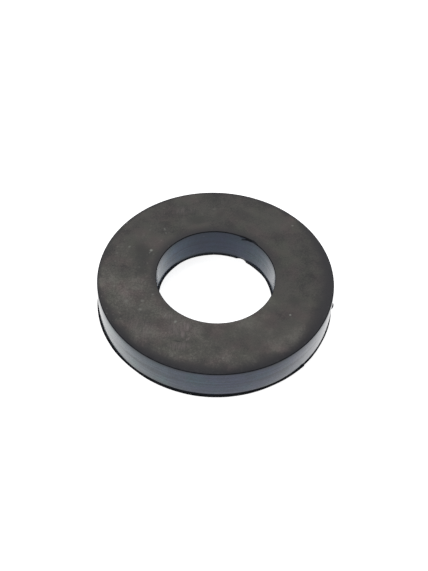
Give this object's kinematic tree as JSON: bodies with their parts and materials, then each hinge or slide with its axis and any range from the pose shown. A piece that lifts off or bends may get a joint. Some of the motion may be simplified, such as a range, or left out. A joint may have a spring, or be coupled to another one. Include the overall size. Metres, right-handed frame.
{
  "type": "rubber washer",
  "caption": "Thick flat rubber washer for a 20 mm bolt, with punched walls, rolled top edges and a thin flash lip round the foot.",
  "frame": {"origin": "on the ring's axis, in the plane that the washer rests on", "axes": "+Z along the bore, from the flash side up to the side where the punch went in; the ring is round about Z, with its torn shred near +X"},
  "size_m": [0.0411, 0.0407, 0.006],
  "materials": {
    "rubber": "dusty mill finish on the flat faces, smooth glossy cut on the walls"
  },
  "bodies": {
    "root": {"washer": "rubber"}
  },
  "joints": []
}
